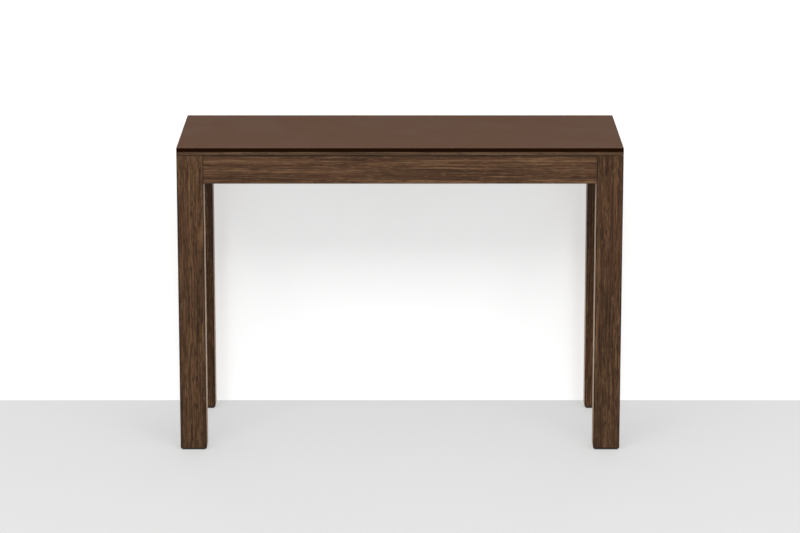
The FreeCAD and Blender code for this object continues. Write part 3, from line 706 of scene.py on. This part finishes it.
def rail_bolts(solids):
    """Socket-headed bolts, and the square nut plates that they draw up, which are wider than long."""
    socket = RAIL_BOLT_SOCKET * sided(6)
    made = []
    for points in solids:
        axis = pin_axis(points)
        if np.ptp(points @ axis) > np.median(np.ptp(points, 0)):
            made.append(set_pin(points, RAIL_BOLT_PITCH, RAIL_BOLT_ROOT, socket, 0.0))
        else:
            made.append(set_nut(points, axis, plate_nut, 4))
    return made


def corner_bolts(solids):
    """Hanger bolts on the corners' diagonals, each with its nut; a bolt is the longer of the two."""
    longest = max(np.ptp(points[:, 0]) for points in solids)
    made = []
    for points in solids:
        inward = -np.sign(points.mean(0)) * (1.0, 1.0, 0.0)
        axis = inward / np.linalg.norm(inward)
        middle, along, out = measured(points, axis)
        if np.ptp(points[:, 0]) > longest / 2:
            shape, faces = turned(hanger(np.ptp(along), np.linalg.norm(out, axis=1).max()), False)
            made.append((set_along(shape, middle, axis, np.array([0.0, 0.0, 1.0])), faces))
        else:
            made.append(set_nut(points, axis, hex_nut, 6))
    return made


def fit_fasteners(node, make):
    """One mesh with all the threaded pieces that stand for a node of plain ones."""
    points, faces = [], []
    for piece_points, piece_faces in make(solids_of(node)):
        faces += [[corner + len(points) for corner in face] for face in piece_faces]
        points += piece_points.tolist()
    mesh = bpy.data.meshes.new(f"{node}_threaded")
    mesh.from_pydata(points, [], faces)
    mesh.shade_smooth()
    mesh.set_sharp_from_angle(angle=SMOOTH_ANGLE)
    mesh.materials.append(FINISHES["zinc"])
    piece = bpy.data.objects.new(f"{node}_threaded", mesh)
    bpy.context.scene.collection.objects.link(piece)
    bodies = frame["record"]["behaviour"]["bodies"]
    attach(piece, next(body for body, nodes in bodies.items() if node in nodes))
    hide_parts(node)


FASTENERS = {
    "front_screws": wood_screws,
    "rear_screws": wood_screws,
    "panel_screws": wood_screws,
    "front_rail_bolts": rail_bolts,
    "rear_rail_bolts": rail_bolts,
    "front_corner_bolts": corner_bolts,
    "rear_corner_bolts": corner_bolts,
}
for fastened, make in FASTENERS.items():
    fit_fasteners(fastened, make)


# The room: a floor at the feet and a wall just behind the rear legs, seen only from its front.
ROOM_HALF = 14.0
WALL_Y = 0.247
WALL_HEIGHT = 5.0
SHEET_STEPS = 3
WHITE = (1, 1, 1, 1)
FLOOR_TONES = ((0.34, 0.34, 0.34, 1), (0.38, 0.38, 0.38, 1))
FLOOR_ROUGHNESS = 0.7
FLOOR_SPECULAR = 0.1
FLOOR_GLOW = 0.4
WALL_TONE = (0.94, 0.94, 0.94, 1)
WALL_GLOW = 0.51


def flat_grid(name, corner, along, up, material):
    """A flat sheet: corner plus u times one edge plus v times the other, on a grid of u and v."""
    steps = np.linspace(0.0, 1.0, SHEET_STEPS)
    u, v = np.meshgrid(steps, steps, indexing="ij")
    points = np.array(corner) + u[..., None] * np.array(along) + v[..., None] * np.array(up)
    index = np.arange(u.size).reshape(u.shape)
    quads = np.stack([index[:-1, :-1], index[1:, :-1], index[1:, 1:], index[:-1, 1:]], -1)
    mesh = bpy.data.meshes.new(name)
    mesh.from_pydata(points.reshape(-1, 3).tolist(), [], quads.reshape(-1, 4).tolist())
    mesh.materials.append(material)
    sheet = bpy.data.objects.new(name, mesh)
    bpy.context.scene.collection.objects.link(sheet)


def seen_rays(tree):
    """1 for what is seen directly, mirrored or through glass, and 0 for light that falls on pieces."""
    rays = shade(tree, "ShaderNodeLightPath").outputs
    seen = reckon(tree, "MAXIMUM", rays["Is Camera Ray"], rays["Is Glossy Ray"])
    return reckon(tree, "MAXIMUM", seen, rays["Is Transmission Ray"])


def floor_finish():
    """Pale grey floor: paint that takes the shadow, and a glow that is seen but lights nothing."""
    material, tree, shader, place = blank("pale_floor")
    marks = placed(tree, MARKS, vector=place, cloud_size=1.4, speck_size=0.01)
    give(tree, shader, {
        "Base Color": mixed(tree, marks["Cloud"], *FLOOR_TONES),
        "Roughness": FLOOR_ROUGHNESS,
        "Specular IOR Level": FLOOR_SPECULAR,
        "Emission Color": WHITE,
        "Emission Strength": reckon(tree, "MULTIPLY", seen_rays(tree), FLOOR_GLOW),
    })
    return material


def wall_finish():
    """White wall, seen from the room's side and in reflections, and open to all other light."""
    material = bpy.data.materials.new("white_wall")
    material.use_nodes = True
    tree = material.node_tree
    tree.nodes.clear()
    back = shade(tree, "ShaderNodeNewGeometry").outputs["Backfacing"]
    shown = reckon(tree, "MULTIPLY", seen_rays(tree), reckon(tree, "SUBTRACT", 1.0, back))
    paint = shade(tree, "ShaderNodeBsdfDiffuse", {"Color": WALL_TONE}).outputs[0]
    glow = shade(tree, "ShaderNodeEmission", {"Color": WHITE, "Strength": WALL_GLOW}).outputs[0]
    lit = shade(tree, "ShaderNodeAddShader", {0: paint, 1: glow}).outputs[0]
    clear = shade(tree, "ShaderNodeBsdfTransparent").outputs[0]
    surface = shade(tree, "ShaderNodeMixShader", {0: shown, 1: clear, 2: lit}).outputs[0]
    shade(tree, "ShaderNodeOutputMaterial", {"Surface": surface})
    return material


ACROSS = (2 * ROOM_HALF, 0.0, 0.0)
flat_grid("floor", (-ROOM_HALF, -ROOM_HALF, 0.0), ACROSS, (0.0, 2 * ROOM_HALF, 0.0), floor_finish())
flat_grid("wall", (-ROOM_HALF, WALL_Y, 0.0), ACROSS, (0.0, 0.0, WALL_HEIGHT), wall_finish())

# Light: lamps with their place, width, depth and power, and the room's own light.
LAMP_TARGET = (0.0, 0.0, 0.5)
SOFTBOXES = {
    "front_softbox": ((0.0, -3.2, 3.6), 5.0, 2.4, 150.0),
    "overhead_softbox": ((0.0, -0.6, 4.0), 4.0, 3.0, 10.0),
    "rear_softbox": ((0.0, 5.0, 4.5), 5.0, 2.4, 60.0),
}
ROOM_FILL = 0.45


def softbox(name, place, width, depth, power):
    """A large soft lamp at a place, facing the table."""
    lamp = bpy.data.lights.new(name, "AREA")
    lamp.shape = "RECTANGLE"
    lamp.size = width
    lamp.size_y = depth
    lamp.energy = power
    made = bpy.data.objects.new(name, lamp)
    bpy.context.scene.collection.objects.link(made)
    made.location = place
    x, y, z = np.array(LAMP_TARGET) - np.array(place)
    made.rotation_euler = (math.atan2(math.hypot(x, y), -z), 0.0, math.atan2(-x, y))


def room_light():
    """White where it is seen directly or in a reflection, and a mild grey fill elsewhere."""
    world = bpy.data.worlds.new("room_light")
    world.use_nodes = True
    tree = world.node_tree
    tree.nodes.clear()
    fill = shade(tree, "ShaderNodeBackground", {"Color": WHITE, "Strength": ROOM_FILL}).outputs[0]
    white = shade(tree, "ShaderNodeBackground", {"Color": WHITE, "Strength": 1.0}).outputs[0]
    surface = shade(tree, "ShaderNodeMixShader", {0: seen_rays(tree), 1: fill, 2: white}).outputs[0]
    shade(tree, "ShaderNodeOutputWorld", {"Surface": surface})
    bpy.context.scene.world = world


for lamp_name, lamp_settings in SOFTBOXES.items():
    softbox(lamp_name, *lamp_settings)
room_light()

# Viewpoint of the picture: metres, degrees below level, and millimetres of lens and sensor.
CAMERA_PLACE = (0.0, -8.2018, 2.3097)
CAMERA_PITCH = 12.976
CAMERA_LENS = 148.78
CAMERA_SENSOR = 36.0

lens = bpy.data.cameras.new("front_camera")
lens.sensor_width = CAMERA_SENSOR
lens.lens = CAMERA_LENS
camera = bpy.data.objects.new("front_camera", lens)
bpy.context.scene.collection.objects.link(camera)
camera.location = CAMERA_PLACE
camera.rotation_euler = (math.radians(90 - CAMERA_PITCH), 0.0, 0.0)
bpy.context.scene.camera = camera
bpy.context.scene.view_settings.view_transform = "Standard"
